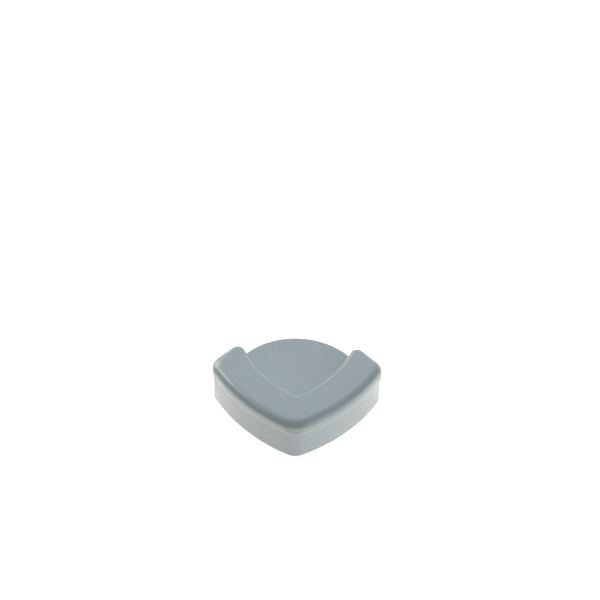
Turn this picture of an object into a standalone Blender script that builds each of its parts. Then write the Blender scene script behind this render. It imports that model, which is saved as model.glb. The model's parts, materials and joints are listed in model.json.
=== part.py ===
# Furniture corner protector: one soft moulded piece that caps the corner of a table, shelf or
# cabinet. A thick V-shaped pad lies over the corner, a thin tongue between its two arms lies flat
# on the furniture's top, and a skirt under the pad covers the two vertical edges.
# Plan drawing: the furniture's edges run along +X and +Y and cross at (0, 0). The guard is the
# same on both sides of the line X = Y, so only the +X half is drawn and the other is its mirror.
import bpy
import bmesh
from math import atan2, cos, pi, radians, sin, sqrt
from mathutils import Matrix, Vector

MM = 0.001

# Plan of the pad, from the crossing of the furniture's two edges
ARM_LENGTH = 46.0 * MM        # to the end of each arm, along the furniture's edge
CORNER_MARGIN = 5.8 * MM      # sharp outer corner beyond both edges, before it is rounded
END_MARGIN = 6.7 * MM         # outer side beyond the furniture's edge, at the end of an arm
OUTER_BOW = 4.4 * MM          # rise of each long outer side over its chord
END_WIDTH = 18.8 * MM         # across the end of an arm
END_SKEW = 0.4 * MM           # inner corner of an arm's end set back from its outer corner
END_BOW = 0.2 * MM            # rise of the end of an arm over its chord
RECESS_DEPTH = 13.5 * MM      # sharp outer corner to the corner of the recess, along X and along Y
RECESS_BOW = 3.8 * MM         # hollow of each recess side under its chord
CORNER_RADIUS = 11.5 * MM     # outer corner of the V, under the top rounding
RIM_CORNER_RADIUS = 7.2 * MM  # and at the lower edge, so that the pad leans out at its nose
RIM_BOW = 4.5 * MM            # rise of each long outer side at the lower edge
END_RADIUS = 6.7 * MM         # outer corner of an arm's end
END_INNER_RADIUS = 3.65 * MM  # inner corner of an arm's end, more than the top rounding's reach

# Tongue, whose front edge is an arc about a centre on the line X = Y
TONGUE_REACH = 35.5 * MM      # corner of the recess to the middle of the front edge
TONGUE_RADIUS = 29.9 * MM
TONGUE_ROOT = 1.2 * MM        # how far its sides run inside the pad

# Skirt, which follows the plan of the pad's lower edge
SKIRT_SETBACK = 0.65 * MM     # shorter than the arm
SKIRT_INSET = 0.06 * MM       # in from the pad's lower edge
SKIRT_LAP = 0.12 * MM         # its top above the pad's lower face

# Heights
SKIRT_HEIGHT = 12.8 * MM      # bottom of the skirt to the furniture's top
PAD_THICKNESS = 5.8 * MM
TONGUE_THICKNESS = 2.2 * MM

# Rounded edges
TOP_REACH = 2.3 * MM          # pad's upper edge, how far it comes in over the top on the recess side
TOP_DROP = 2.8 * MM           # and how far it comes down
OUTER_SPREAD = 1.9            # on the outer sides it comes in this many times as far
RIM_ROUND = 0.2 * MM          # pad's lower edge
TONGUE_ROUND = 1.5 * MM       # tongue's upper edge
FOOT_ROUND = 0.3 * MM         # skirt's bottom edge

# Fineness of the arcs
LONG_STEPS = 18
CORNER_STEPS = 12
END_STEPS = 4
TOP_STEPS = 7
TONGUE_STEPS = 4
SMALL_STEPS = 2

OVERLAP = 2.0 * MM            # depth by which the furniture's block runs past what it cuts
DIAGONAL = Vector((1.0, 1.0)).normalized()


def clear_scene():
    for item in list(bpy.data.objects):
        bpy.data.objects.remove(item, do_unlink=True)


def new_collection(name):
    collection = bpy.data.collections.new(name)
    bpy.context.scene.collection.children.link(collection)
    return collection


def bowed_side(start, end, bow, turn):
    """Centre and radius of the arc over a chord. Turn is 1 where the arc bows out of the guard,
    which lies to the left of the chord, and -1 where it bows into it."""
    chord = end - start
    radius = (chord.length_squared / 4 + bow * bow) / (2 * bow)
    left = Vector((-chord.y, chord.x)).normalized()
    return (start + end) / 2 + left * turn * (radius - bow), radius


def crossing(centre_a, radius_a, centre_b, radius_b, near):
    """The point where two circles cross that lies nearest to a given one."""
    line = centre_b - centre_a
    along = (line.length_squared + radius_a ** 2 - radius_b ** 2) / (2 * line.length)
    across = sqrt(radius_a ** 2 - along ** 2)
    direction = line.normalized()
    side = Vector((-direction.y, direction.x)) * across
    foot = centre_a + direction * along
    return min(foot + side, foot - side, key=lambda point: (point - near).length)


def touch_point(centre, radius, corner_centre):
    """Where a corner's rounding touches a side's circle."""
    return centre + (corner_centre - centre).normalized() * radius


def arc(centre, start, end, steps):
    """Points after start and up to end on the short way round a centre."""
    first = start - centre
    last = end - centre
    sweep = atan2(first.x * last.y - first.y * last.x, first.dot(last))
    return [centre + Matrix.Rotation(sweep * step / steps, 2) @ first for step in range(1, steps + 1)]


def recess_corner():
    return Vector((1.0, 1.0)) * (RECESS_DEPTH - CORNER_MARGIN)


def guard_plan(arm_length, outer_bow, corner_radius, spread):
    """Plan of the V, counter-clockwise from its outer corner, as pairs of a point and the way it
    moves in for a unit of inset. On the outer sides the point moves spread times as far."""
    outer_corner = Vector((-CORNER_MARGIN, -CORNER_MARGIN))
    end_outer = Vector((arm_length, -END_MARGIN))
    end_inner = Vector((arm_length - END_SKEW, END_WIDTH - END_MARGIN))
    outer, outer_radius = bowed_side(outer_corner, end_outer, outer_bow, 1)
    end, end_radius = bowed_side(end_outer, end_inner, END_BOW, 1)
    recess, recess_radius = bowed_side(end_inner, recess_corner(), RECESS_BOW, -1)

    v_centre = crossing(outer, outer_radius - corner_radius, outer.yx, outer_radius - corner_radius,
                        outer_corner)
    tip_centre = crossing(outer, outer_radius - END_RADIUS, end, end_radius - END_RADIUS, end_outer)
    inner_centre = crossing(end, end_radius - END_INNER_RADIUS, recess,
                            recess_radius + END_INNER_RADIUS, end_inner)
    hollow = crossing(recess, recess_radius, recess.yx, recess_radius, recess_corner())

    nose = v_centre - DIAGONAL * corner_radius
    outer_start = touch_point(outer, outer_radius, v_centre)
    outer_end = touch_point(outer, outer_radius, tip_centre)
    end_start = touch_point(end, end_radius, tip_centre)
    end_end = touch_point(end, end_radius, inner_centre)
    recess_start = touch_point(recess, recess_radius, inner_centre)

    half = [(nose, DIAGONAL * spread)]

    def add(centre, start, stop, steps, first_spread, last_spread):
        """Arc about a centre that lies on the guard's side, or beyond it where spread is negative."""
        for step, point in enumerate(arc(centre, start, stop, steps), 1):
            share = first_spread + (last_spread - first_spread) * step / steps
            half.append((point, (centre - point).normalized() * share))

    add(v_centre, nose, outer_start, CORNER_STEPS // 2, spread, spread)
    add(outer, outer_start, outer_end, LONG_STEPS, spread, spread)
    add(tip_centre, outer_end, end_start, CORNER_STEPS, spread, spread)
    add(end, end_start, end_end, END_STEPS, spread, 1.0)
    add(inner_centre, end_end, recess_start, CORNER_STEPS, 1.0, 1.0)
    add(recess, recess_start, hollow, LONG_STEPS, -1.0, -1.0)

    # The recess's corner moves along the diagonal, far enough for both sides to keep their distance
    point, inward = half[-1]
    half[-1] = (point, DIAGONAL / inward.dot(DIAGONAL))
    return half + [(point.yx, inward.yx) for point, inward in reversed(half[1:-1])]


def tongue_plan():
    """Sector whose straight sides run inside the pad, past the deepest point of the recess."""
    front = recess_corner() + DIAGONAL * TONGUE_REACH
    centre = front - DIAGONAL * TONGUE_RADIUS
    root = recess_corner().y - RECESS_BOW - TONGUE_ROOT
    start = Vector((centre.x + sqrt(TONGUE_RADIUS ** 2 - (centre.y - root) ** 2), root))
    front_edge = [start] + arc(centre, start, start.yx, 2 * LONG_STEPS)
    edge = [(point, (centre - point).normalized()) for point in front_edge]
    return [(Vector((root, root)), Vector((0.0, 0.0)))] + edge


def upper_rounding(top, reach, drop, steps):
    """Section over a rounded upper edge, from the top down, which keeps to the upper plan."""
    angles = [pi / 2 * step / steps for step in range(steps + 1)]
    return [(reach * (1 - sin(angle)), top - drop * (1 - cos(angle)), 0.0) for angle in angles]


def lower_rounding(foot, radius, steps):
    """Section under a rounded lower edge, from its wall down, which keeps to the lower plan."""
    angles = [pi / 2 * step / steps for step in range(steps + 1)]
    return [(radius * (1 - cos(angle)), foot + radius * (1 - sin(angle)), 1.0) for angle in angles]


def solid(name, plan, lower_plan, section, collection):
    """Body with flat ends whose wall has the given insets and heights all round. The third number
    of the section is 0 where the wall follows the plan and 1 where it follows the lower plan."""
    mesh = bpy.data.meshes.new(name)
    shape = bmesh.new()
    rings = []
    for inset, height, lean in section:
        ring = []
        for (point, inward), (low_point, low_inward) in zip(plan, lower_plan):
            place = (point + inward * inset).lerp(low_point + low_inward * inset, lean)
            ring.append(shape.verts.new((place.x, place.y, height)))
        rings.append(ring)
    for upper, lower in zip(rings, rings[1:]):
        for index in range(len(plan)):
            shape.faces.new((upper[index - 1], lower[index - 1], lower[index], upper[index]))
    shape.faces.new(rings[0])
    shape.faces.new(reversed(rings[-1]))
    bmesh.ops.remove_doubles(shape, verts=shape.verts, dist=0.00001 * MM)
    bmesh.ops.recalc_face_normals(shape, faces=shape.faces)
    shape.to_mesh(mesh)
    shape.free()
    body = bpy.data.objects.new(name, mesh)
    collection.objects.link(body)
    return body


def add_boolean(body, other, operation):
    modifier = body.modifiers.new(other.name, "BOOLEAN")
    modifier.operation = operation
    modifier.solver = "EXACT"
    modifier.object = other
    other.hide_render = True
    other.display_type = "WIRE"


def furniture_corner(collection):
    """The furniture itself, from below the skirt up to its top, as the cutter for the skirt."""
    reach = 2 * ARM_LENGTH
    bpy.ops.mesh.primitive_cube_add(size=1.0)
    block = bpy.context.active_object
    block.name = "furniture_corner"
    height = SKIRT_HEIGHT + PAD_THICKNESS + OVERLAP
    block.data.transform(Matrix.Diagonal((reach, reach, height, 1.0)))
    block.location = (reach / 2, reach / 2, height / 2 - OVERLAP)
    for owner in list(block.users_collection):
        owner.objects.unlink(block)
    collection.objects.link(block)
    return block


def moulded_material():
    material = bpy.data.materials.new("soft_moulding")
    material.use_nodes = True
    shader = material.node_tree.nodes["Principled BSDF"]
    shader.inputs["Base Color"].default_value = (0.30, 0.36, 0.38, 1.0)
    shader.inputs["Roughness"].default_value = 0.38
    shader.inputs["Metallic"].default_value = 0.0
    material.diffuse_color = (0.30, 0.36, 0.38, 1.0)
    return material


def build():
    clear_scene()
    guard = new_collection("furniture_corner_protector")
    cutters = new_collection("cutters")
    seat = SKIRT_HEIGHT
    pad_top = seat + PAD_THICKNESS

    pad_plan = guard_plan(ARM_LENGTH, OUTER_BOW, CORNER_RADIUS, OUTER_SPREAD)
    rim_plan = guard_plan(ARM_LENGTH, RIM_BOW, RIM_CORNER_RADIUS, 1.0)
    pad_section = upper_rounding(pad_top, TOP_REACH, TOP_DROP, TOP_STEPS)
    pad_section += lower_rounding(seat, RIM_ROUND, SMALL_STEPS)
    pad = solid("corner_protector", pad_plan, rim_plan, pad_section, guard)

    tongue_top = seat + TONGUE_THICKNESS
    tongue_section = upper_rounding(tongue_top, TONGUE_ROUND, TONGUE_ROUND, TONGUE_STEPS)
    tongue_section.append((0.0, seat, 0.0))
    tongue = solid("tongue", tongue_plan(), tongue_plan(), tongue_section, cutters)

    skirt_plan = guard_plan(ARM_LENGTH - SKIRT_SETBACK, RIM_BOW, RIM_CORNER_RADIUS, 1.0)
    foot_section = lower_rounding(0.0, FOOT_ROUND, SMALL_STEPS)
    skirt_section = [(0.0, seat + SKIRT_LAP, 0.0)] + foot_section
    skirt_section = [(SKIRT_INSET + inset, height, lean) for inset, height, lean in skirt_section]
    skirt = solid("skirt", skirt_plan, skirt_plan, skirt_section, cutters)
    add_boolean(skirt, furniture_corner(cutters), "DIFFERENCE")

    add_boolean(pad, tongue, "UNION")
    add_boolean(pad, skirt, "UNION")

    # The frame's origin is the middle of the guard's box, at the foot of the skirt
    reach = [point.x for point, inward in pad_plan + rim_plan + skirt_plan]
    middle = (min(reach) + max(reach)) / 2
    for body in (pad, *cutters.objects):
        body.location -= Vector((middle, middle, 0.0))
    pad.data.materials.append(moulded_material())
    pad.data.shade_smooth()
    pad.data.set_sharp_from_angle(angle=radians(35.0))


build()
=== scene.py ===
# Looks of the furniture corner protector: a soft grey-blue moulding in one piece, satin, with a
# painted highlight as a pale line where the mould parted, and a small hollow fillet where its tongue
# meets the pad.
# Lengths are in metres, in the guard's own frame: +X and +Y run along the furniture's edges.
import json
from math import atan2, cos, pi, radians, sin, sqrt
import bpy
import bmesh
from mathutils import Matrix, Vector


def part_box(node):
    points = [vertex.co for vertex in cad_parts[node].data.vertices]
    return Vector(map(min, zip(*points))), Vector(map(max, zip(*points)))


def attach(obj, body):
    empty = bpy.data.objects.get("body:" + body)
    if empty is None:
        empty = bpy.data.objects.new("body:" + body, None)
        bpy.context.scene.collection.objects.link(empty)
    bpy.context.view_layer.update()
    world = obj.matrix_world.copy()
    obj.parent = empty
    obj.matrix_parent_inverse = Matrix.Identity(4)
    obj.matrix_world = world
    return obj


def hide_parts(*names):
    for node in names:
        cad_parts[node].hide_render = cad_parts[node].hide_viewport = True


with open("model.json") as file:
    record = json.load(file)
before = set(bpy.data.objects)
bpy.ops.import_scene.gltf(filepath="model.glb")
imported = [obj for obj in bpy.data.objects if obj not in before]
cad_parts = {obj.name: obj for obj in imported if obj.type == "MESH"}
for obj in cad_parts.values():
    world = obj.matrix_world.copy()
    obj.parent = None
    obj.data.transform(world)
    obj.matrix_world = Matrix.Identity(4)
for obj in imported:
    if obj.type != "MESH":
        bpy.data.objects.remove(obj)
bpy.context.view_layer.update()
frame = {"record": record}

MM = 0.001
NODE = "corner_protector"

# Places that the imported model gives
SEATS = {mount["name"]: mount["pos_m"] for mount in frame["record"]["mounts"]}
EDGE_X = SEATS["edge_seat_x"][0]
EDGE_Y = SEATS["edge_seat_y"][1]
SEAT_HEIGHT = SEATS["furniture_top_seat"][2]
PAD_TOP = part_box(NODE)[1].z

# Plan of the pad, from the crossing of the furniture's two edges
ARM_LENGTH = 46.0 * MM
CORNER_MARGIN = 5.8 * MM
END_MARGIN = 6.7 * MM
OUTER_BOW = 4.4 * MM
END_WIDTH = 18.8 * MM
END_SKEW = 0.4 * MM
END_BOW = 0.2 * MM
RECESS_DEPTH = 13.5 * MM
RECESS_BOW = 3.8 * MM
CORNER_RADIUS = 11.5 * MM     # under the top rounding
RIM_CORNER_RADIUS = 7.2 * MM  # at the lower edge, so that the pad leans out at its nose
RIM_BOW = 4.5 * MM
END_RADIUS = 6.7 * MM
END_INNER_RADIUS = 3.65 * MM

# Tongue
TONGUE_REACH = 35.5 * MM
TONGUE_RADIUS = 29.9 * MM
TONGUE_ROOT = 1.2 * MM
TONGUE_THICKNESS = 2.2 * MM
TONGUE_ROUND = 1.5 * MM
COVE = 0.4 * MM               # hollow fillet between the tongue and the wall of the recess
COVE_FOOT = 0.2 * MM          # how far it goes on below the tongue's top, inside the tongue

# Skirt, which follows the pad's lower edge from just inside it
SKIRT_SETBACK = 0.65 * MM
SKIRT_INSET = 0.06 * MM
SKIRT_LAP = 0.12 * MM

# Edges
TOP_REACH = 2.3 * MM          # pad's upper rounding, over the top on the recess side
TOP_DROP = 2.8 * MM           # and down
OUTER_SPREAD = 1.9            # on the outer sides it comes in this many times as far
RIM_ROUND = 0.2 * MM
FOOT_ROUND = 0.3 * MM
FLAT_MARGIN = 0.2 * MM        # strip of flat top that keeps the rounding's shading off the face
DRAWN_IN = 0.012 * MM         # whole plan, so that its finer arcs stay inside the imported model

# Fineness of the mesh
LONG_STEPS = 56
RECESS_STEPS = 38
CORNER_STEPS = 24
END_STEPS = 4
ROUND_STEPS = 14
SMALL_STEPS = 4
OVERLAP = 2.0 * MM            # by which the furniture's block passes the guard
SEAM_WELD = 0.0005 * MM       # closes a carried section
JOIN_WELD = 0.002 * MM        # clears what the joins left
SHARP_ANGLE = radians(32.0)
DIAGONAL = Vector((1.0, 1.0)).normalized()


# Plan

def bowed_side(start, end, bow, turn):
    """Centre and radius of the arc over a chord; turn is 1 bowing out of the guard, -1 into it."""
    chord = end - start
    radius = (chord.length_squared / 4 + bow * bow) / (2 * bow)
    left = Vector((-chord.y, chord.x)).normalized()
    return (start + end) / 2 + left * turn * (radius - bow), radius


def crossing(centre_a, radius_a, centre_b, radius_b, near):
    """The point where two circles cross that lies nearest to a given one."""
    line = centre_b - centre_a
    along = (line.length_squared + radius_a ** 2 - radius_b ** 2) / (2 * line.length)
    across = sqrt(radius_a ** 2 - along ** 2)
    direction = line.normalized()
    side = Vector((-direction.y, direction.x)) * across
    foot = centre_a + direction * along
    return min(foot + side, foot - side, key=lambda point: (point - near).length)


def touch_point(centre, radius, corner_centre):
    return centre + (corner_centre - centre).normalized() * radius


def arc(centre, start, end, steps):
    """Points after start and up to end on the short way round a centre."""
    first = start - centre
    last = end - centre
    sweep = atan2(first.x * last.y - first.y * last.x, first.dot(last))
    return [centre + Matrix.Rotation(sweep * step / steps, 2) @ first for step in range(1, steps + 1)]


def recess_corner():
    return Vector((1.0, 1.0)) * (RECESS_DEPTH - CORNER_MARGIN)


def guard_plan(arm_length, outer_bow, corner_radius, spread):
    """Plan of the V, counter-clockwise from its outer corner, as a list of (point, the way it moves
    in for a unit of inset, share of the recess). The outer sides move spread times as far."""
    outer_corner = Vector((-CORNER_MARGIN, -CORNER_MARGIN))
    end_outer = Vector((arm_length, -END_MARGIN))
    end_inner = Vector((arm_length - END_SKEW, END_WIDTH - END_MARGIN))
    outer, outer_radius = bowed_side(outer_corner, end_outer, outer_bow, 1)
    end, end_radius = bowed_side(end_outer, end_inner, END_BOW, 1)
    recess, recess_radius = bowed_side(end_inner, recess_corner(), RECESS_BOW, -1)

    v_centre = crossing(outer, outer_radius - corner_radius, outer.yx, outer_radius - corner_radius,
                        outer_corner)
    tip_centre = crossing(outer, outer_radius - END_RADIUS, end, end_radius - END_RADIUS, end_outer)
    inner_centre = crossing(end, end_radius - END_INNER_RADIUS, recess,
                            recess_radius + END_INNER_RADIUS, end_inner)
    hollow = crossing(recess, recess_radius, recess.yx, recess_radius, recess_corner())

    nose = v_centre - DIAGONAL * corner_radius
    outer_start = touch_point(outer, outer_radius, v_centre)
    outer_end = touch_point(outer, outer_radius, tip_centre)
    end_start = touch_point(end, end_radius, tip_centre)
    end_end = touch_point(end, end_radius, inner_centre)
    recess_start = touch_point(recess, recess_radius, inner_centre)

    half = [(nose, DIAGONAL * spread, 0.0)]

    def add(centre, start, stop, steps, first_spread, last_spread, recess_share=0.0):
        """Arc about a centre on the guard's side, or beyond it where spread is negative."""
        for step, point in enumerate(arc(centre, start, stop, steps), 1):
            share = first_spread + (last_spread - first_spread) * step / steps
            half.append((point, (centre - point).normalized() * share, recess_share))

    add(v_centre, nose, outer_start, CORNER_STEPS // 2, spread, spread)
    add(outer, outer_start, outer_end, LONG_STEPS, spread, spread)
    add(tip_centre, outer_end, end_start, CORNER_STEPS, spread, spread)
    add(end, end_start, end_end, END_STEPS, spread, 1.0)
    add(inner_centre, end_end, recess_start, CORNER_STEPS, 1.0, 1.0)
    add(recess, recess_start, hollow, RECESS_STEPS, -1.0, -1.0, 1.0)

    # The recess's corner moves along the diagonal, far enough for both sides to keep their distance
    point, inward, recess_share = half[-1]
    half[-1] = (point, DIAGONAL / inward.dot(DIAGONAL), recess_share)
    mirrored = [(point.yx, inward.yx, recess_share) for point, inward, recess_share in half[1:-1]]
    return half + mirrored[::-1]


def tongue_plan():
    """Sector with its round front; the two straight sides run inside the pad."""
    front = recess_corner() + DIAGONAL * TONGUE_REACH
    centre = front - DIAGONAL * TONGUE_RADIUS
    root = recess_corner().y - RECESS_BOW - TONGUE_ROOT
    start = Vector((centre.x + sqrt(TONGUE_RADIUS ** 2 - (centre.y - root) ** 2), root))
    points = [start] + arc(centre, start, start.yx, 2 * LONG_STEPS)
    plan = [(point, (centre - point).normalized(), 0.0) for point in points]
    return [(Vector((root, root)), Vector((0.0, 0.0)), 0.0)] + plan


# Sections, from the top down, each a list of (inset, hollow fillet, height, lean). The lean is 0
# where the wall follows the plan and 1 where it follows the lower plan.

def quarter(steps):
    """Sine and cosine at even steps over a quarter turn."""
    return [(sin(pi / 2 * step / steps), cos(pi / 2 * step / steps)) for step in range(steps + 1)]


def upper_rounding(top, reach, drop, steps):
    return [(DRAWN_IN + reach * (1 - sine), 0.0, top - drop * (1 - cosine), 0.0)
            for sine, cosine in quarter(steps)]


def lower_rounding(foot, radius, steps):
    return [(DRAWN_IN + radius * (1 - cosine), 0.0, foot + radius * (1 - sine), 1.0)
            for sine, cosine in quarter(steps)]


def pad_section():
    """Upper rounding, wall and lower rim. At the tongue the recess side flares out in a cove."""
    tongue_top = SEAT_HEIGHT + TONGUE_THICKNESS
    rim_top = SEAT_HEIGHT + RIM_ROUND
    wall_top = PAD_TOP - TOP_DROP
    heights = {round(PAD_TOP - TOP_DROP * (1 - cosine), 7) for sine, cosine in quarter(ROUND_STEPS)}
    heights |= {round(tongue_top + COVE * (1 - sine), 7) for sine, cosine in quarter(2 * SMALL_STEPS)}
    section = [(DRAWN_IN + TOP_REACH + FLAT_MARGIN, 0.0, PAD_TOP, 0.0)]
    for height in sorted(heights, reverse=True):
        left = max(1 - (PAD_TOP - height) / TOP_DROP, 0.0)
        inset = TOP_REACH * (1 - sqrt(max(1 - left ** 2, 0.0)))
        into_cove = min(max(tongue_top + COVE - height, 0.0), COVE)
        cove = COVE - sqrt(COVE ** 2 - into_cove ** 2)
        lean = max(wall_top - height, 0.0) / (wall_top - rim_top)
        section.append((DRAWN_IN + inset, cove, height, lean))
    for height, cove in ((tongue_top - COVE_FOOT, COVE), (tongue_top - 2 * COVE_FOOT, 0.0)):
        section.append((DRAWN_IN, cove, height, (wall_top - height) / (wall_top - rim_top)))
    section += lower_rounding(SEAT_HEIGHT, RIM_ROUND, SMALL_STEPS)
    section.append((DRAWN_IN + RIM_ROUND + FLAT_MARGIN, 0.0, SEAT_HEIGHT, 1.0))
    return section


def tongue_section():
    top = SEAT_HEIGHT + TONGUE_THICKNESS
    section = [(DRAWN_IN + TONGUE_ROUND + FLAT_MARGIN, 0.0, top, 0.0)]
    section += upper_rounding(top, TONGUE_ROUND, TONGUE_ROUND, ROUND_STEPS)
    section.append((DRAWN_IN, 0.0, SEAT_HEIGHT, 0.0))
    return section


def skirt_section():
    """Wall that starts inside the pad's lower edge, and the rounded foot."""
    section = [(DRAWN_IN, 0.0, SEAT_HEIGHT + SKIRT_LAP, 0.0)]
    section += lower_rounding(0.0, FOOT_ROUND, SMALL_STEPS)
    section.append((DRAWN_IN + FOOT_ROUND + FLAT_MARGIN, 0.0, 0.0, 0.0))
    return [(SKIRT_INSET + inset, cove, height, lean) for inset, cove, height, lean in section]


# Geometry nodes: a section carried round a plan

class Tree:
    """Shorthand for building a node tree: add a node, set its inputs, join its sockets."""

    def __init__(self, tree):
        self.tree = tree

    def add(self, kind, inputs=None, **settings):
        node = self.tree.nodes.new(kind)
        for name, value in settings.items():
            setattr(node, name, value)
        for key, value in (inputs or {}).items():
            if isinstance(value, bpy.types.NodeSocket):
                self.tree.links.new(value, node.inputs[key])
            else:
                node.inputs[key].default_value = value
        return node

    def math(self, operation, first, second=0.0):
        return self.add("ShaderNodeMath", {0: first, 1: second}, operation=operation).outputs[0]

    def vector(self, operation, first, second):
        return self.add("ShaderNodeVectorMath", {0: first, 1: second}, operation=operation).outputs[0]

    def scale(self, vector, factor):
        node = self.add("ShaderNodeVectorMath", {0: vector}, operation="SCALE")
        if isinstance(factor, bpy.types.NodeSocket):
            self.tree.links.new(factor, node.inputs["Scale"])
        else:
            node.inputs["Scale"].default_value = factor
        return node.outputs[0]

    def link(self, output, socket):
        self.tree.links.new(output, socket)


def sample(tree, geometry, field, index, kind="FLOAT_VECTOR"):
    """Value of a field at one point of a geometry."""
    return tree.add("GeometryNodeSampleIndex", {"Geometry": geometry, "Value": field, "Index": index},
                    data_type=kind, domain="POINT").outputs["Value"]


def carried_section_tree():
    """Node tree that carries a section round a closed plan and closes both ends with a face."""
    group = bpy.data.node_groups.new("section_round_plan", "GeometryNodeTree")
    group.interface.new_socket("Plan", in_out="INPUT", socket_type="NodeSocketGeometry")
    group.interface.new_socket("Section", in_out="INPUT", socket_type="NodeSocketObject")
    group.interface.new_socket("Material", in_out="INPUT", socket_type="NodeSocketMaterial")
    group.interface.new_socket("Solid", in_out="OUTPUT", socket_type="NodeSocketGeometry")
    tree = Tree(group)
    entry = tree.add("NodeGroupInput")
    plan = entry.outputs["Plan"]
    section = tree.add("GeometryNodeObjectInfo", {"Object": entry.outputs["Section"]}).outputs["Geometry"]
    place = tree.add("GeometryNodeInputPosition").outputs[0]
    inward = tree.add("GeometryNodeInputNamedAttribute", {"Name": "inward"},
                      data_type="FLOAT_VECTOR").outputs["Attribute"]
    recess = tree.add("GeometryNodeInputNamedAttribute", {"Name": "recess"},
                      data_type="FLOAT").outputs["Attribute"]
    to_lower = tree.add("GeometryNodeInputNamedAttribute", {"Name": "to_lower"},
                        data_type="FLOAT_VECTOR").outputs["Attribute"]
    lean = tree.add("GeometryNodeInputNamedAttribute", {"Name": "lean"},
                    data_type="FLOAT").outputs["Attribute"]
    plan_count = tree.add("GeometryNodeAttributeDomainSize", {"Geometry": plan}).outputs["Point Count"]
    rows = tree.add("GeometryNodeAttributeDomainSize", {"Geometry": section}).outputs["Point Count"]

    grid = tree.add("GeometryNodeMeshGrid", {"Vertices X": tree.math("ADD", plan_count, 1.0),
                                             "Vertices Y": rows})
    index = tree.add("GeometryNodeInputIndex").outputs[0]
    column = tree.math("FLOOR", tree.math("DIVIDE", tree.math("ADD", index, 0.5), rows))
    row = tree.math("SUBTRACT", index, tree.math("MULTIPLY", column, rows))
    around = tree.math("MODULO", column, plan_count)

    def swept_place(plan_fields, section_index):
        """Point of the solid over one point of the plan, at one point of the section."""
        plan_place, plan_inward, plan_recess, plan_to_lower = plan_fields
        parts = tree.add("ShaderNodeSeparateXYZ",
                         {0: sample(tree, section, place, section_index)}).outputs
        inset = tree.math("SUBTRACT", parts[0], tree.math("MULTIPLY", plan_recess, parts[1]))
        height = tree.add("ShaderNodeCombineXYZ", {2: parts[2]}).outputs[0]
        leaning = tree.scale(plan_to_lower, sample(tree, section, lean, section_index, "FLOAT"))
        flat = tree.vector("ADD", plan_place, tree.scale(plan_inward, inset))
        return tree.vector("ADD", tree.vector("ADD", flat, leaning), height), height

    sampled = (sample(tree, plan, place, around), sample(tree, plan, inward, around),
               sample(tree, plan, recess, around, "FLOAT"), sample(tree, plan, to_lower, around))
    point, height = swept_place(sampled, row)
    wall = tree.add("GeometryNodeSetPosition", {"Geometry": grid.outputs["Mesh"], "Position": point})

    last_row = tree.math("SUBTRACT", rows, 1.0)
    closed = tree.add("GeometryNodeJoinGeometry")
    tree.link(wall.outputs["Geometry"], closed.inputs[0])
    for end_row, upper in ((0, True), (last_row, False)):
        point, height = swept_place((place, inward, recess, to_lower), end_row)
        rim = tree.add("GeometryNodeSetPosition", {"Geometry": plan, "Position": point})
        loop = tree.add("GeometryNodeMeshToCurve", {"Mesh": rim.outputs["Geometry"]})
        face = tree.add("GeometryNodeFillCurve", {"Curve": loop.outputs["Curve"]}, mode="NGONS")
        cap = tree.add("GeometryNodeSetPosition", {"Geometry": face.outputs["Mesh"], "Offset": height})
        result = cap.outputs["Geometry"]
        if not upper:
            result = tree.add("GeometryNodeFlipFaces", {"Mesh": result}).outputs["Mesh"]
        tree.link(result, closed.inputs[0])

    merged = tree.add("GeometryNodeMergeByDistance", {"Geometry": closed.outputs["Geometry"],
                                                      "Distance": SEAM_WELD})
    real = tree.add("GeometryNodeRealizeInstances", {"Geometry": merged.outputs["Geometry"]})
    finish = tree.add("GeometryNodeSetMaterial", {"Geometry": real.outputs["Geometry"],
                                                  "Material": entry.outputs["Material"]})
    exit_node = tree.add("NodeGroupOutput")
    tree.link(finish.outputs["Geometry"], exit_node.inputs["Solid"])
    return group


def point_object(name, points, closed, attributes=None):
    """Object whose mesh is a chain of points, with values stored on them."""
    mesh = bpy.data.meshes.new(name)
    count = len(points)
    edges = [(index, (index + 1) % count) for index in range(count if closed else count - 1)]
    mesh.from_pydata(points, edges, [])
    for label, (kind, values) in (attributes or {}).items():
        attribute = mesh.attributes.new(label, kind, "POINT")
        for element, value in zip(attribute.data, values):
            if kind == "FLOAT_VECTOR":
                element.vector = value
            else:
                element.value = value
    guide = bpy.data.objects.new(name, mesh)
    bpy.context.scene.collection.objects.link(guide)
    return guide


def evaluated_copy(name, source):
    """Plain mesh object of what an object looks like with its modifiers."""
    bpy.context.view_layer.update()
    graph = bpy.context.evaluated_depsgraph_get()
    mesh = bpy.data.meshes.new_from_object(source.evaluated_get(graph))
    mesh.name = name
    copy = bpy.data.objects.new(name, mesh)
    bpy.context.scene.collection.objects.link(copy)
    return copy


def solid_from(name, plan, lower_plan, section, tree, material):
    """Closed solid of a section carried round a plan, in the guard's frame."""
    places = [(point.x + EDGE_X, point.y + EDGE_Y, 0.0) for point, inward, recess in plan]
    directions = [(inward.x, inward.y, 0.0) for point, inward, recess in plan]
    shares = [recess for point, inward, recess in plan]
    steps = [lower[0] - upper[0] for upper, lower in zip(plan, lower_plan)]
    to_lower = [(step.x, step.y, 0.0) for step in steps]
    plan_object = point_object(name + "_plan", places, True,
                               {"inward": ("FLOAT_VECTOR", directions), "recess": ("FLOAT", shares),
                                "to_lower": ("FLOAT_VECTOR", to_lower)})
    section_object = point_object(name + "_section", [row[:3] for row in section], False,
                                  {"lean": ("FLOAT", [row[3] for row in section])})
    modifier = plan_object.modifiers.new("section_round_plan", "NODES")
    modifier.node_group = tree
    sockets = {item.name: item.identifier for item in tree.interface.items_tree
               if item.in_out == "INPUT"}
    modifier[sockets["Section"]] = section_object
    modifier[sockets["Material"]] = material
    solid = evaluated_copy(name, plan_object)
    bpy.data.objects.remove(plan_object)
    bpy.data.objects.remove(section_object)
    face_outwards(solid.data)
    return solid


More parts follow.
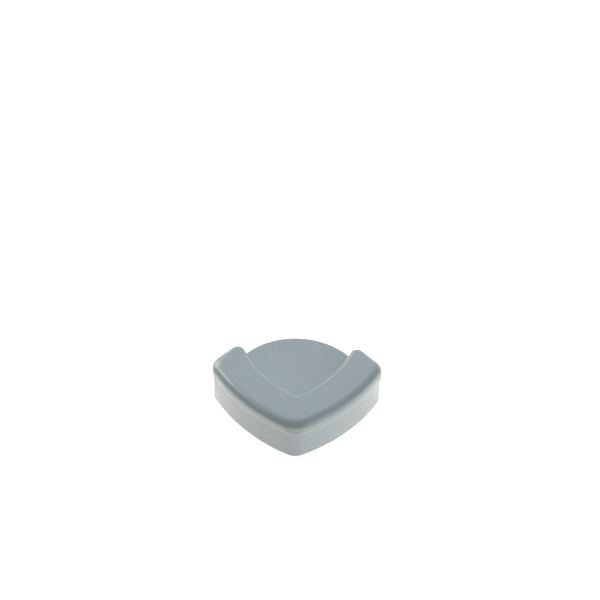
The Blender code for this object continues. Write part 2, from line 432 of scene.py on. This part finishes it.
def face_outwards(mesh):
    shape = bmesh.new()
    shape.from_mesh(mesh)
    bmesh.ops.recalc_face_normals(shape, faces=shape.faces)
    shape.to_mesh(mesh)
    shape.free()


def furniture_block():
    """Block the size of the furniture's corner, from below the skirt to above the pad."""
    reach = 2 * ARM_LENGTH
    height = PAD_TOP + 2 * OVERLAP
    mesh = bpy.data.meshes.new("furniture_block")
    shape = bmesh.new()
    bmesh.ops.create_cube(shape, size=1.0, matrix=Matrix.Diagonal((reach, reach, height, 1.0)))
    centre = Vector((EDGE_X + reach / 2, EDGE_Y + reach / 2, height / 2 - OVERLAP))
    bmesh.ops.translate(shape, verts=shape.verts, vec=centre)
    shape.to_mesh(mesh)
    shape.free()
    block = bpy.data.objects.new("furniture_block", mesh)
    bpy.context.scene.collection.objects.link(block)
    return block


def add_boolean(body, other, operation):
    modifier = body.modifiers.new(other.name, "BOOLEAN")
    modifier.operation = operation
    modifier.solver = "EXACT"
    modifier.object = other


def moulded_guard(material):
    """The whole guard as one closed mesh."""
    tree = carried_section_tree()
    pad_plan = guard_plan(ARM_LENGTH, OUTER_BOW, CORNER_RADIUS, OUTER_SPREAD)
    rim_plan = guard_plan(ARM_LENGTH, RIM_BOW, RIM_CORNER_RADIUS, 1.0)
    tongue_edge = tongue_plan()
    skirt_plan = guard_plan(ARM_LENGTH - SKIRT_SETBACK, RIM_BOW, RIM_CORNER_RADIUS, 1.0)
    pad = solid_from("pad", pad_plan, rim_plan, pad_section(), tree, material)
    tongue = solid_from("tongue", tongue_edge, tongue_edge, tongue_section(), tree, material)
    skirt = solid_from("skirt", skirt_plan, skirt_plan, skirt_section(), tree, material)
    block = furniture_block()
    add_boolean(skirt, block, "DIFFERENCE")
    add_boolean(pad, tongue, "UNION")
    add_boolean(pad, skirt, "UNION")
    guard = evaluated_copy("moulded_guard", pad)
    for helper in (pad, tongue, skirt, block):
        bpy.data.objects.remove(helper)
    finish_surface(guard.data)
    return guard


def finish_surface(mesh):
    """Weld what the joins left, then shade the roundings smooth and the real edges sharp."""
    shape = bmesh.new()
    shape.from_mesh(mesh)
    bmesh.ops.remove_doubles(shape, verts=shape.verts, dist=JOIN_WELD)
    bmesh.ops.recalc_face_normals(shape, faces=shape.faces)
    shape.to_mesh(mesh)
    shape.free()
    mesh.shade_smooth()
    mesh.set_sharp_from_angle(angle=SHARP_ANGLE)


# Materials

BLUE_GREY = (0.272, 0.338, 0.364, 1.0)
GREEN_GREY = (0.266, 0.329, 0.340, 1.0)
PALE_MOTTLE = (0.296, 0.360, 0.382, 1.0)
# Pale of the dust specks, also mixed in as the painted highlight along the mould line
PALE_DUST_AND_HIGHLIGHT = (0.62, 0.66, 0.66, 1.0)
WHITE = (1.0, 1.0, 1.0, 1.0)
MOTTLE_SHARE = 0.35
DUST_SHARE = 0.22
# Painted highlight: a pale line mixed into the colour along the mould's parting, standing in for the
# light caught there
PAINTED_HIGHLIGHT_SHARE = 0.25
PAINTED_HIGHLIGHT_RISE = 0.7 * MM          # of the mould line above the pad's underside, where the pale line is a painted highlight
PAINTED_HIGHLIGHT_HALF_WIDTH = 0.4 * MM
ROUGHNESS = (0.250, 0.262)
EDGE_POLISH = 0.06            # taken off the roughness at the tight edges
GRAIN_DEPTH = 0.05 * MM
GRAIN_STRENGTH = 0.02


def shader_group(name, inputs, outputs):
    """New shader node group; an input is a vector where its value is one, and a number otherwise."""
    group = bpy.data.node_groups.new(name, "ShaderNodeTree")
    for label, value in inputs.items():
        kind = "NodeSocketVector" if isinstance(value, tuple) else "NodeSocketFloat"
        group.interface.new_socket(label, in_out="INPUT", socket_type=kind).default_value = value
    for label, kind in outputs:
        group.interface.new_socket(label, in_out="OUTPUT", socket_type=kind)
    tree = Tree(group)
    return group, tree, tree.add("NodeGroupInput"), tree.add("NodeGroupOutput")


def object_place(tree):
    return tree.add("ShaderNodeTexCoord").outputs["Object"]


def noise(tree, scale, detail, roughness=0.5):
    return tree.add("ShaderNodeTexNoise", {"Vector": object_place(tree), "Scale": scale,
                                           "Detail": detail, "Roughness": roughness}).outputs["Fac"]


def ramp(tree, value, low, high, to_low=0.0, to_high=1.0):
    return tree.add("ShaderNodeMapRange", {"Value": value, "From Min": low, "From Max": high,
                                           "To Min": to_low, "To Max": to_high}).outputs[0]


def moulding_grain_group():
    """Fine skin of a moulding: dense grain with a slow swell, as one height."""
    group, tree, entry, leave = shader_group(
        "moulding_grain", {"Grain Scale": 2400.0, "Swell Scale": 90.0, "Swell": 1.5},
        [("Height", "NodeSocketFloat")])
    grain = noise(tree, entry.outputs["Grain Scale"], 1.0)
    swell = noise(tree, entry.outputs["Swell Scale"], 1.0, 0.4)
    total = tree.math("ADD", grain, tree.math("MULTIPLY", swell, entry.outputs["Swell"]))
    tree.link(total, leave.inputs["Height"])
    return group


def tone_group():
    """Slow drift of the compound's colour and a fine mottle in it."""
    group, tree, entry, leave = shader_group(
        "compound_tone", {"Drift Scale": 45.0, "Mottle Scale": 900.0},
        [("Drift", "NodeSocketFloat"), ("Mottle", "NodeSocketFloat")])
    tree.link(ramp(tree, noise(tree, entry.outputs["Drift Scale"], 1.5), 0.3, 0.7), leave.inputs["Drift"])
    tree.link(ramp(tree, noise(tree, entry.outputs["Mottle Scale"], 3.0), 0.3, 0.7),
              leave.inputs["Mottle"])
    return group


def dust_group():
    """Sparse pale specks of dust that cling to a soft surface."""
    group, tree, entry, leave = shader_group(
        "dust_specks", {"Density Scale": 400.0, "Size": 0.09, "Share": 0.9},
        [("Mask", "NodeSocketFloat")])
    cells = tree.add("ShaderNodeTexVoronoi", {"Vector": object_place(tree),
                                              "Scale": entry.outputs["Density Scale"]})
    near = tree.math("LESS_THAN", cells.outputs["Distance"], entry.outputs["Size"])
    chosen = tree.add("ShaderNodeSeparateColor", {0: cells.outputs["Color"]}).outputs[0]
    rare = tree.math("GREATER_THAN", chosen, entry.outputs["Share"])
    tree.link(tree.math("MULTIPLY", near, rare), leave.inputs["Mask"])
    return group


def painted_parting_highlight_group():
    """Mask of the painted highlight, a thin pale line where the two halves of the mould met, full
    at one height and fading over the half width."""
    group, tree, entry, leave = shader_group(
        "mould_line", {"Height": SEAT_HEIGHT + PAINTED_HIGHLIGHT_RISE, "Half Width": PAINTED_HIGHLIGHT_HALF_WIDTH},
        [("Mask", "NodeSocketFloat")])
    height = tree.add("ShaderNodeSeparateXYZ", {0: object_place(tree)}).outputs[2]
    off = tree.math("ABSOLUTE", tree.math("SUBTRACT", height, entry.outputs["Height"]))
    tree.link(ramp(tree, off, 0.0, entry.outputs["Half Width"], 1.0, 0.0), leave.inputs["Mask"])
    return group


def edge_shine_group():
    """Mask of the tight convex edges, which handling polishes."""
    group, tree, entry, leave = shader_group(
        "edge_shine", {"Start": 0.505, "Full": 0.56}, [("Mask", "NodeSocketFloat")])
    pointiness = tree.add("ShaderNodeNewGeometry").outputs["Pointiness"]
    tree.link(ramp(tree, pointiness, entry.outputs["Start"], entry.outputs["Full"]),
              leave.inputs["Mask"])
    return group


def colour_mix(tree, factor, first, second):
    """Mix of two colours, each a value or a socket."""
    node = tree.add("ShaderNodeMix", data_type="RGBA")
    for socket, value in ((node.inputs[0], factor), (node.inputs[6], first), (node.inputs[7], second)):
        if isinstance(value, bpy.types.NodeSocket):
            tree.link(value, socket)
        else:
            socket.default_value = value
    return node.outputs[2]


def soft_moulding():
    """Satin elastomer of the guard."""
    material = bpy.data.materials.new("soft_moulding_skin")
    material.use_nodes = True
    tree = Tree(material.node_tree)
    shader = material.node_tree.nodes["Principled BSDF"]
    tone = tree.add("ShaderNodeGroup", node_tree=tone_group())
    grain = tree.add("ShaderNodeGroup", node_tree=moulding_grain_group())
    dust = tree.add("ShaderNodeGroup", node_tree=dust_group())
    shine = tree.add("ShaderNodeGroup", node_tree=edge_shine_group())
    # Mask of the painted highlight along the mould line
    line = tree.add("ShaderNodeGroup", node_tree=painted_parting_highlight_group())

    drift = colour_mix(tree, tone.outputs["Drift"], BLUE_GREY, GREEN_GREY)
    mottle = tree.math("MULTIPLY", tone.outputs["Mottle"], MOTTLE_SHARE)
    body = colour_mix(tree, mottle, drift, PALE_MOTTLE)
    dusted = colour_mix(tree, tree.math("MULTIPLY", dust.outputs["Mask"], DUST_SHARE), body, PALE_DUST_AND_HIGHLIGHT)
    # Painted highlight: a pale line mixed in where the mould parted
    with_painted_highlight = colour_mix(tree, tree.math("MULTIPLY", line.outputs["Mask"], PAINTED_HIGHLIGHT_SHARE), dusted, PALE_DUST_AND_HIGHLIGHT)
    tree.link(with_painted_highlight, shader.inputs["Base Color"])

    rough = ramp(tree, tone.outputs["Drift"], 0.0, 1.0, *ROUGHNESS)
    rough = tree.math("SUBTRACT", rough, tree.math("MULTIPLY", shine.outputs["Mask"], EDGE_POLISH))
    tree.link(rough, shader.inputs["Roughness"])
    bump = tree.add("ShaderNodeBump", {"Strength": GRAIN_STRENGTH, "Distance": GRAIN_DEPTH,
                                       "Height": grain.outputs["Height"]})
    tree.link(bump.outputs["Normal"], shader.inputs["Normal"])
    shader.inputs["IOR"].default_value = 1.5
    return material


# Studio

CAMERA_DISTANCE = 766.3 * MM
CAMERA_ELEVATION = radians(45.46)
CAMERA_ROLL = 0.0278
CAMERA_LENS = 102.0
CAMERA_SENSOR = 36.0
PICTURE_CENTRE = Vector((59.19 * MM, 58.63 * MM, 0.0))   # on the floor, from the furniture's corner
KEY_DISTANCE = 0.9
KEY_SIZE = 0.05
KEY_POWER = 0.5               # watts
FLOOR_SIZE = 3.0
FLOOR_COLOUR = (0.92, 0.92, 0.92, 1.0)
FLOOR_WARMTH = (1.0, 0.885, 0.84, 1.0)
FLOOR_GLOW = 0.98             # light from under the white table, as the guard gets it
FLOOR_GLOW_SEEN = 0.66        # and as the camera sees it, so that the shadow stays
FRONT = Vector((-1.0, -1.0, 0.0)).normalized()           # from the guard to the camera, level
RIGHT = Vector((1.0, -1.0, 0.0)).normalized()
UP = Vector((0.0, 0.0, 1.0))


def add_camera():
    data = bpy.data.cameras.new("camera")
    data.lens = CAMERA_LENS
    data.sensor_width = CAMERA_SENSOR
    data.clip_start = 0.01
    data.clip_end = 20.0
    camera = bpy.data.objects.new("camera", data)
    bpy.context.scene.collection.objects.link(camera)
    aim = PICTURE_CENTRE + Vector((EDGE_X, EDGE_Y, 0.0))
    backwards = FRONT * cos(CAMERA_ELEVATION) + UP * sin(CAMERA_ELEVATION)
    camera.location = aim + backwards * CAMERA_DISTANCE
    level = backwards.to_track_quat("Z", "Y").to_matrix()
    camera.rotation_euler = (level @ Matrix.Rotation(CAMERA_ROLL, 3, "Z")).to_euler()
    bpy.context.scene.camera = camera


def towards(azimuth, elevation):
    """Direction given in degrees: azimuth from the camera's side over its right, and elevation."""
    level = FRONT * cos(radians(azimuth)) + RIGHT * sin(radians(azimuth))
    return level * cos(radians(elevation)) + UP * sin(radians(elevation))


def add_lamp(name, direction, distance, size, power, colour):
    """Soft square lamp that looks at the guard from a direction."""
    data = bpy.data.lights.new(name, "AREA")
    data.size = size
    data.energy = power
    data.color = colour
    lamp = bpy.data.objects.new(name, data)
    lamp.location = direction * distance
    lamp.rotation_euler = direction.to_track_quat("Z", "Y").to_euler()
    bpy.context.scene.collection.objects.link(lamp)


def soft_window_group():
    """Level of a soft-edged patch of light in the room: 1 inside Core, 0 beyond Reach, as lengths
    between unit directions, with heights counted Flatness times."""
    group, tree, entry, leave = shader_group(
        "soft_window", {"Direction": (0.0, 0.0, 1.0), "Towards": (0.0, 0.0, 1.0), "Core": 0.2,
                        "Reach": 0.6, "Flatness": 1.0},
        [("Level", "NodeSocketFloat")])
    gap = tree.vector("SUBTRACT", entry.outputs["Direction"], entry.outputs["Towards"])
    weights = tree.add("ShaderNodeCombineXYZ", {0: 1.0, 1: 1.0, 2: entry.outputs["Flatness"]}).outputs[0]
    distance = tree.add("ShaderNodeVectorMath", {0: tree.vector("MULTIPLY", gap, weights)},
                        operation="LENGTH").outputs["Value"]
    level = tree.add("ShaderNodeMapRange",
                     {"Value": distance, "From Min": entry.outputs["Core"],
                      "From Max": entry.outputs["Reach"], "To Min": 1.0, "To Max": 0.0},
                     interpolation_type="SMOOTHSTEP").outputs[0]
    tree.link(level, leave.inputs["Level"])
    return group


# Patches of light: azimuth, elevation, core, reach, flatness, and the light's red, green and blue
WINDOWS = (
    (225.0, 30.0, 0.20, 0.50, 1.0, (6.6, 5.9, 5.2)),
    (225.0, 55.0, 0.20, 0.50, 1.0, (0.6, 0.8, 1.1)),
    (180.0, 25.0, 0.20, 0.50, 1.0, (0.9, 1.0, 1.1)),
    (180.0, 50.0, 0.20, 0.50, 1.0, (1.28, 1.38, 1.45)),
    (60.0, 25.0, 0.20, 0.55, 1.0, (1.6, 1.7, 1.9)),
    (60.0, 50.0, 0.25, 0.65, 1.0, (0.4, 0.4, 0.3)),
    (97.0, 6.0, 0.25, 0.60, 2.6, (6.2, 5.4, 5.2)),
    (140.0, 8.0, 0.25, 0.60, 2.6, (0.9, 0.7, 0.4)),
    (45.0, 6.0, 0.25, 0.60, 2.6, (0.6, 0.6, 0.3)),
    (0.0, 45.0, 0.25, 0.60, 1.0, (0.12, 0.08, 0.06)),
    (160.0, 12.0, 0.10, 0.30, 1.0, (0.85, 0.85, 0.85)),
)


def studio_world():
    """Dark room with soft windows, white where the camera sees it."""
    world = bpy.data.worlds.new("studio")
    bpy.context.scene.world = world
    world.use_nodes = True
    tree = Tree(world.node_tree)
    background = world.node_tree.nodes["Background"]
    direction = tree.add("ShaderNodeTexCoord").outputs["Generated"]
    group = soft_window_group()
    light = (0.0, 0.0, 0.0)
    for azimuth, elevation, core, reach, flatness, colour in WINDOWS:
        window = tree.add("ShaderNodeGroup", node_tree=group)
        tree.link(direction, window.inputs["Direction"])
        window.inputs["Towards"].default_value = towards(azimuth, elevation)
        window.inputs["Core"].default_value = core
        window.inputs["Reach"].default_value = reach
        window.inputs["Flatness"].default_value = flatness
        tint = tree.add("ShaderNodeCombineXYZ", {0: colour[0], 1: colour[1], 2: colour[2]}).outputs[0]
        light = tree.vector("ADD", light, tree.scale(tint, window.outputs["Level"]))
    seen = tree.add("ShaderNodeLightPath").outputs["Is Camera Ray"]
    tree.link(colour_mix(tree, seen, light, WHITE), background.inputs["Color"])


def studio_floor():
    """Pale floor that shows white to the camera and keeps the guard's shadow."""
    mesh = bpy.data.meshes.new("floor")
    shape = bmesh.new()
    bmesh.ops.create_grid(shape, x_segments=1, y_segments=1, size=FLOOR_SIZE / 2)
    shape.to_mesh(mesh)
    shape.free()
    floor = bpy.data.objects.new("floor", mesh)
    bpy.context.scene.collection.objects.link(floor)
    material = bpy.data.materials.new("pale_floor")
    material.use_nodes = True
    shader = material.node_tree.nodes["Principled BSDF"]
    shader.inputs["Base Color"].default_value = FLOOR_COLOUR
    shader.inputs["Roughness"].default_value = 0.9
    mesh.materials.append(material)
    tree = Tree(material.node_tree)
    seen = tree.add("ShaderNodeLightPath").outputs["Is Camera Ray"]
    glow = tree.math("ADD", tree.math("MULTIPLY", seen, FLOOR_GLOW_SEEN - FLOOR_GLOW), FLOOR_GLOW)
    tree.link(glow, shader.inputs["Emission Strength"])
    tree.link(colour_mix(tree, seen, FLOOR_WARMTH, WHITE), shader.inputs["Emission Color"])


def build():
    bpy.context.scene.view_settings.view_transform = "Standard"
    add_camera()
    studio_world()
    studio_floor()
    add_lamp("key", towards(242.6, 50.9), KEY_DISTANCE, KEY_SIZE, KEY_POWER, (0.96, 1.0, 1.0))

    guard = moulded_guard(soft_moulding())
    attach(guard, "root")
    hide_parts(NODE)


build()
